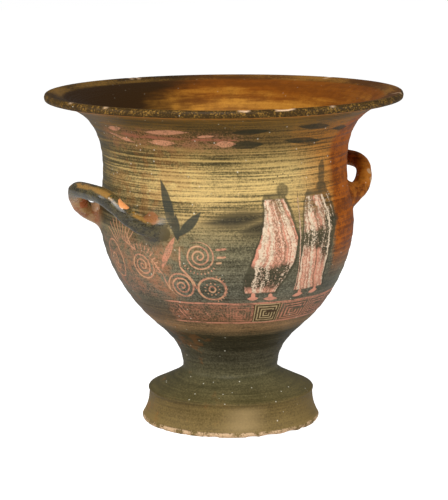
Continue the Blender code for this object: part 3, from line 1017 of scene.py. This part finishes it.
def slip(s):
    """The coat: streaked between a dark and a light colour up the pot, orange and then rust to the right,
    with a painted highlight on the foot band's front.
    """
    share = curve(s.up, LIGHT_SHARE, 0.0, 1.0)
    left_shade = s.around.step(-80.0, -190.0) * s.up.within(5.0, 84.0, 8.0) * 0.34
    lively = s.up.step(-12.0, 22.0) * 2.2 - s.up.step(82.0, 96.0) * 1.2 + 0.8
    rise = share + (s.streak - 0.5) * lively + (s.cloud - 0.5) * 0.8 + (s.grain - 0.5) * 1.3 - left_shade
    light = rise.step(0.05, 0.95)
    coat = mixed(light, ramp(s.up, DARK_COAT), ramp(s.up, LIGHT_COAT))
    brown = (s.cloud + (s.patch - 0.5) * 0.8).step(0.54, 0.68) * s.around.step(-60.0, -150.0)
    coat = mixed(brown * 0.35, coat, WARM_BROWN)
    warmed = s.around + (s.cloud - 0.5) * 90.0 + (s.streak - 0.5) * 40.0
    orange = warmed.step(-14.0, 48.0) * warmed.step(330.0, 260.0) * s.up.within(20.0, 116.0, 12.0)
    coat = mixed(orange * 0.85, coat, mixed(light, ORANGE_DARK, ORANGE_LIGHT))
    rusted = s.around + (s.cloud - 0.5) * 34.0 + (s.grain - 0.5) * 20.0 - s.up.step(84.0, 124.0) * 20.0
    rust = rusted.step(43.0, 54.0) * rusted.step(330.0, 250.0)
    rust = rust * s.up.step(-58.0, -12.0) * s.up.step(146.0, 100.0)
    mottle = (s.patch * 0.5 + s.cloud * 0.5 + (s.grain - 0.5) * 0.8 + (s.streak - 0.5) * 0.7).step(0.34, 0.66)
    rust_colour = mixed(mottle, RUST_DARK, RUST_LIGHT)
    coat = mixed(rust, coat, rust_colour)
    # Painted highlight: a paler patch on the foot band's front, where it faces the camera and the key light.
    foot_band_highlight = s.around.within(-78.0, -30.0, 22.0) * s.up.within(-249.0, -226.0, 5.0)
    coat = mixed(foot_band_highlight * 0.5, coat, FOOT_BAND_HIGHLIGHT)
    coat = mixed(s.strokes(SMUDGES, 2.0, 1.7) * (s.streak + (s.grain - 0.5)).step(0.25, 0.55), coat, SMUDGE)
    blush = s.area(-215.0, -55.0, 86.0, 106.0, 18.0) * 0.5
    blush = blush.join(s.area(-240.0, -136.0, -68.0, -8.0, 14.0) * 0.55)
    blush = blush.join(s.area(-152.0, -47.0, -97.0, -74.0, 6.0) * 0.85)
    return mixed(blush * s.faint, coat, BLUSH), rust_colour, light


def handles(s, coat, rust_colour):
    """Glossy black and ochre on the left loop, the ochre on its upper faces partly a painted highlight, with
    its far arm bare and tan; rust on the right one.
    """
    black = mixed((s.grain * 0.6 + s.patch * 0.6).step(0.50, 0.78), HANDLE_BLACK, HANDLE_OLIVE)
    # Ochre streaks on the faces that turn upwards: partly the slip's own ochre, partly a painted highlight
    # along the loop's top.
    ochre = s.upward.within(0.45, 0.93, 0.12) * s.streaky.step(0.44, 0.56)
    left = mixed(ochre * 0.85, black, HANDLE_OCHRE_HIGHLIGHT)
    bare = s.y.step(-0.002, 0.014) * (s.upward + (s.patch - 0.5) * 0.8).step(0.46, 0.16)
    bare = bare * s.x.step(-0.162, -0.150)
    left = mixed(bare, left, mixed(s.patch.step(0.40, 0.60), HANDLE_RED, HANDLE_TAN))
    coat = mixed(s.handle * s.x.step(-0.09, -0.12), coat, left)
    right = mixed(s.patch.step(0.35, 0.75), rust_colour, ORANGE_LIGHT)
    coat = mixed(s.handle * s.x.step(0.09, 0.12), coat, right)
    # Bare clay patches, and the dark one that is a painted shadow under the left loop's root.
    for centre, radius, colour in CLAY_PATCHES_AND_ROOT_SHADOW:
        coat = mixed(s.spot(centre, radius) * (s.grain.step(0.3, 0.5) * 0.3 + 0.65), coat, colour)
    return coat


def wreath(s, coat):
    """The laurel on the neck, the tall leaves and the bud."""
    coat = mixed(s.strokes(TALL_LEAVES) * s.body * 0.9, coat, LEAF_GREY)
    coat = mixed(s.strokes(LAUREL_DARK) * (s.faint * 0.25 + 0.65), coat, LEAF_DARK)
    coat = mixed(s.strokes(LAUREL_STEM, 6.0) * (s.worn * 0.6 + 0.15), coat, LAUREL_RED)
    coat = mixed(s.strokes(LAUREL) * (s.worn * 0.6 + 0.3), coat, LAUREL_PINK)
    return mixed(s.strokes(BUD) * (s.worn * 0.5 + 0.25) * s.body, coat, SALMON)


def scrollwork(s, coat):
    """The scrolls, their rays and stalks, in worn pink lines; gives the mask too."""
    lines = s.strokes(SCROLL_STROKES, 8.0, 0.5)
    for centre, turn, stretch, given in SCROLLS:
        lines = lines.join(s.marked(s.coil, placed(centre, turn, stretch), given))
    lines = lines * s.body * (s.worn * 0.55 + 0.40)
    return mixed(lines, coat, mixed(s.patch.step(0.35, 0.65), SALMON, TAN_LINE)), lines


def key_band(s, coat):
    """The key pattern between its two lines: cream on brown in its first square, worn pink elsewhere."""
    band = s.v.within(-98.6, -73.0, 0.5)
    rule = (s.v + 72.0).size().step(1.4, 0.6).join((s.v + 99.6).size().step(1.4, 0.6))
    keys = None
    for middle, half, strength in KEY_CELLS:
        cell = s.marked(s.key, placed((middle, -86.0), 0.0, (half, 12.4)), {}) * strength
        keys = cell if keys is None else keys.join(cell)
    shown = s.u.within(-152.0, 130.0, 8.0)
    first = s.u.within(-47.0, -10.5, 0.8)
    coat = mixed(band * (first * 0.75 + shown * 0.15), coat, KEY_BROWN)
    coat = mixed(keys * band * shown * (s.worn * 0.5 + 0.35), coat, mixed(first, SALMON, KEY_CREAM))
    slants = s.strokes(KEY_SLANTS, 8.0, 0.5) * (s.worn * 0.4 + 0.4)
    return mixed(rule.join(slants) * (s.worn * 0.5 + 0.3) * shown, coat, SALMON)


def figures(s, coat):
    """Two standing draped figures: dark outlines and heads, pink and cream folds, worn parts, and feet."""
    second = s.u.step(-1.0, 1.0)
    first = 1.0 - second
    low, high = -70, 60
    left_edge = curve(s.v, FIRST_LEFT, low, high) * first + curve(s.v, SECOND_LEFT, low, high) * second
    right_edge = curve(s.v, FIRST_RIGHT, low, high) * first + curve(s.v, SECOND_RIGHT, low, high) * second
    across = (s.u - left_edge) / (right_edge - left_edge)
    ragged_edge = (s.patch - 0.5) * 5.0
    in_left, in_right = s.u - left_edge + ragged_edge, right_edge - s.u + ragged_edge
    height = s.v.within(-58.5, 36.0, 1.0)
    figure = in_left.step(-0.6, 0.6) * in_right.step(-0.6, 0.6) * height
    outline = in_left.step(-3.2, -1.2) * in_right.step(-4.5, -2.0) * s.v.within(-60.0, 42.0, 2.0)
    bend = across * 5.5 + second * 20.0 + (s.patch - 0.5) * 1.3 + (s.cloud - 0.5) * 2.0 + s.v * 0.02
    given = {"W": bend, "Scale": 1.0, "Detail": 3.0, "Roughness": 0.6}
    folds = Field(s.tree, node(s.tree, "TexNoise", given, noise_dimensions="1D").outputs["Fac"])
    cream = (folds + (s.grain - 0.5) * 0.6 - s.v.step(12.0, -30.0) * 0.05).step(0.42, 0.58)
    cloth = mixed(cream, PINK, CREAM)
    crease = (folds - 0.44 + (s.grain - 0.5) * 0.15).size().step(0.030, 0.012)
    cloth = mixed(crease * 0.75, cloth, CREASE)
    ragged = s.v + (s.patch - 0.5) * 20.0
    worn_low = ragged.within(-53.0, -28.0, 4.0) * first + ragged.within(-14.0, 4.0, 4.0) * second
    worn_high = ragged.step(6.0, 28.0) * (second * 0.2 + 0.65)
    worn_side = (across + (s.patch - 0.5) * 0.5).step(0.58, 0.76) * second * s.v.step(-40.0, -16.0)
    gone = worn_low.join(worn_high * s.patch.step(0.60, 0.46)).join(worn_side)
    gone = gone * (folds + (s.grain - 0.5)).step(0.66, 0.50)
    feet = s.strokes(FEET).join(s.strokes(ANKLES, 4.0))
    shadow = outline.join(s.strokes(HEADS, 4.0, 0.5)).join(s.strokes(WREATH_DOTS, 2.0, 0.6))
    coat = mixed(shadow * (s.faint * 0.25 + 0.6), coat, FIGURE_DARK)
    coat = mixed(figure * (1.0 - gone) * (s.worn * 0.35 + 0.6), coat, cloth)
    return mixed(feet * (s.worn * 0.3 + 0.65), coat, PINK), figure.join(feet)


def lip_and_lining(s, coat):
    """The lip's dark face and orange lower edge, and the inside: rust above, a golden painted highlight
    below, one side dark with painted shade.
    """
    face = s.up.step(148.6, 150.4) * (1.0 - s.inside)
    speckled = mixed((s.grain * 0.7 + s.patch * 0.3).step(0.48, 0.66), LIP_DARK, LIP_OLIVE)
    coat = mixed(s.up.within(146.5, 151.4, 0.9) * (s.patch * 0.5 + 0.5), coat, ORANGE_LIGHT)
    coat = mixed(face * s.up.step(150.6, 152.2), coat, speckled)
    sideways = s.x * math.cos(LINING_SHADE_TURN) - s.y * math.sin(LINING_SHADE_TURN)
    # Painted highlight: the inside turns golden lower down.
    gold = s.z * -30.0 + s.cloud * 1.4 + (s.brushed - 0.5) * 1.8 + (s.grain - 0.5) * 0.8 + 9.3
    lining_colour = mixed(gold.step(0.1, 1.3), INSIDE_RUST, INSIDE_GOLD_HIGHLIGHT)
    stain = (s.brushed * 0.6 + s.patch * 0.4).step(0.56, 0.40) * 0.5
    lining_colour = mixed(stain, lining_colour, INSIDE_BROWN)
    # Painted shade: one side of the inside darkens to black.
    dark = (sideways + (s.cloud - 0.5) * 0.10 + (s.brushed - 0.5) * 0.06).step(-0.010, -0.085)
    lining_colour = mixed(dark, lining_colour, INSIDE_SHADE_BLACK)
    coat = mixed(s.inside, coat, lining_colour)
    rim = s.inside * s.up.step(155.0, 157.0)
    brushed = (s.brushed + (s.grain - 0.5) * 0.6).step(0.42, 0.66)
    return mixed(rim * 0.6, coat, mixed(brushed, LIP_DARK, LIP_OLIVE))


def wear(s, coat):
    """Chips down to pale clay, a rubbed foot edge, and small pale specks from the ground it lay in."""
    rubbed = s.up.step(-249.2, -251.2) * (s.patch * 0.6 + s.grain * 0.4).step(0.44, 0.54)
    coat = mixed((s.chipped * (s.grain.step(0.3, 0.5) * 0.4 + 0.6)).join(rubbed * 0.8), coat, BARE_CLAY)
    cells = node(s.tree, "TexVoronoi", {"Vector": s.thrown, "Scale": 140.0})
    speck = Field(s.tree, cells.outputs["Distance"]).step(0.13, 0.07)
    drawn_lot = node(s.tree, "SeparateColor", {"Color": cells.outputs["Color"]}).outputs[0]
    chosen = Field(s.tree, drawn_lot).step(0.66, 0.74)
    return mixed(speck * chosen * (s.inside * -0.6 + 0.75), coat, GREY_SPECK)


def painted_clay():
    """The pot's one material: slip, worn paint, the bare inside, chips, the gloss of each, and one fine
    relief over all.
    """
    clay = bpy.data.materials.new("painted_clay_surface")
    clay.use_nodes = True
    tree = clay.node_tree
    shader = tree.nodes["Principled BSDF"]
    s = Surface(tree)
    coat, rust_colour, light = slip(s)
    coat, lines = scrollwork(s, wreath(s, handles(s, coat, rust_colour)))
    coat, drawn = figures(s, key_band(s, coat))
    coat = wear(s, lip_and_lining(s, coat))
    feed(tree, coat, shader.inputs["Base Color"])
    painted = lines.join(drawn)
    glossy = s.handle * s.x.step(-0.09, -0.12)
    rough = light * 0.18 + painted * 0.25 + s.inside * 0.08 + s.chipped * 0.3
    rough = rough + (s.grain - 0.5) * 0.3 - glossy * 0.16
    feed(tree, (rough + 0.42).maths("MINIMUM", 0.9), shader.inputs["Roughness"])
    feed(tree, glossy * 0.40 + 0.10, shader.inputs["Specular IOR Level"])
    relief = s.streak * 0.5 + s.grain * 0.25 + s.patch * 0.2
    bump = node(tree, "Bump", {"Strength": 0.5, "Distance": 0.0006, "Height": relief})
    feed(tree, bump.outputs[0], shader.inputs["Normal"])
    return clay


pot = krater()
pot.data.materials.clear()
pot.data.materials.append(painted_clay())
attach(pot, "root")
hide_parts("krater")

# Camera and studio: the photograph's view, on white
CAMERA_BEARING = math.radians(33.6)
CAMERA_DISTANCE = 2.0845
CAMERA_HEIGHT = 0.54825
CAMERA_PITCH = math.radians(10.36)
FOCAL_LENGTH_PX = 2080.0
IMAGE_SIZE = (448, 500)
CENTRE_PX = (230.67, 256.0)
SENSOR = 36.0
SURROUND = 0.20
FLOOR_GLOW = 0.85
FLOOR_PALE = 0.75
FLOOR_HALF_WIDTH = 6.0


def camera():
    """A long lens that looks slightly down, turned round the foot's centre."""
    lens = bpy.data.cameras.new("camera")
    longest = max(IMAGE_SIZE)
    lens.sensor_width = SENSOR
    lens.lens = FOCAL_LENGTH_PX * SENSOR / longest
    lens.shift_x = (IMAGE_SIZE[0] / 2 - CENTRE_PX[0]) / longest
    lens.shift_y = (CENTRE_PX[1] - IMAGE_SIZE[1] / 2) / longest
    made = bpy.data.objects.new("camera", lens)
    foot_x, foot_y = -LEAN * math.cos(LEAN_BEARING), -LEAN * math.sin(LEAN_BEARING)
    made.location = (
        foot_x - CAMERA_DISTANCE * math.sin(CAMERA_BEARING),
        foot_y - CAMERA_DISTANCE * math.cos(CAMERA_BEARING),
        CAMERA_HEIGHT,
    )
    made.rotation_euler = (math.pi / 2 - CAMERA_PITCH, 0, -CAMERA_BEARING)
    bpy.context.scene.collection.objects.link(made)
    bpy.context.scene.camera = made


def floor():
    """A wide white floor that glows a little to the camera, so it ends in the surround without a line."""
    mesh = bpy.data.meshes.new("floor")
    half = FLOOR_HALF_WIDTH
    corners = [(-half, -half, 0), (half, -half, 0), (half, half, 0), (-half, half, 0)]
    mesh.from_pydata(corners, [], [(0, 1, 2, 3)])
    made = bpy.data.objects.new("floor", mesh)
    bpy.context.scene.collection.objects.link(made)
    pale = bpy.data.materials.new("white_floor")
    pale.use_nodes = True
    tree = pale.node_tree
    tree.nodes.remove(tree.nodes["Principled BSDF"])
    seen = Field(tree, node(tree, "LightPath", {}).outputs["Is Camera Ray"])
    matt = node(tree, "BsdfDiffuse", {"Color": (FLOOR_PALE, FLOOR_PALE, FLOOR_PALE, 1.0)})
    glow = node(tree, "Emission", {"Strength": seen * FLOOR_GLOW})
    both = node(tree, "AddShader", {0: matt.outputs[0], 1: glow.outputs[0]})
    feed(tree, both.outputs[0], tree.nodes["Material Output"].inputs["Surface"])
    made.data.materials.append(pale)


def light(name, bearing, distance, height, size, power):
    """A square soft light at a bearing from the camera's own, aimed at the middle of the pot."""
    lamp = bpy.data.lights.new(name, "AREA")
    lamp.size = size
    lamp.energy = power
    made = bpy.data.objects.new(name, lamp)
    turn = CAMERA_BEARING + math.radians(bearing)
    place = np.array([-distance * math.sin(turn), -distance * math.cos(turn), height])
    aim = np.array([0, 0, 0.5 * HEIGHT]) - place
    pitch = math.atan2(aim[2], math.hypot(aim[0], aim[1]))
    made.location = place
    made.rotation_euler = (math.pi / 2 + pitch, 0, math.atan2(-aim[0], aim[1]))
    bpy.context.scene.collection.objects.link(made)


def studio():
    """A soft key from above the camera, a fill on each side, and a surround only the camera sees white."""
    world = bpy.data.worlds.new("studio")
    world.use_nodes = True
    tree = world.node_tree
    seen = Field(tree, node(tree, "LightPath", {}).outputs["Is Camera Ray"])
    feed(tree, (1.0, 1.0, 1.0, 1.0), tree.nodes["Background"].inputs["Color"])
    feed(tree, seen * (1.0 - SURROUND) + SURROUND, tree.nodes["Background"].inputs["Strength"])
    bpy.context.scene.world = world
    light("key", bearing=8, distance=1.9, height=1.7, size=1.4, power=62)
    light("left_fill", bearing=75, distance=1.8, height=0.8, size=0.8, power=13)
    light("right_fill", bearing=-70, distance=1.8, height=0.8, size=0.8, power=13)


camera()
floor()
studio()
bpy.context.scene.view_settings.view_transform = "Standard"
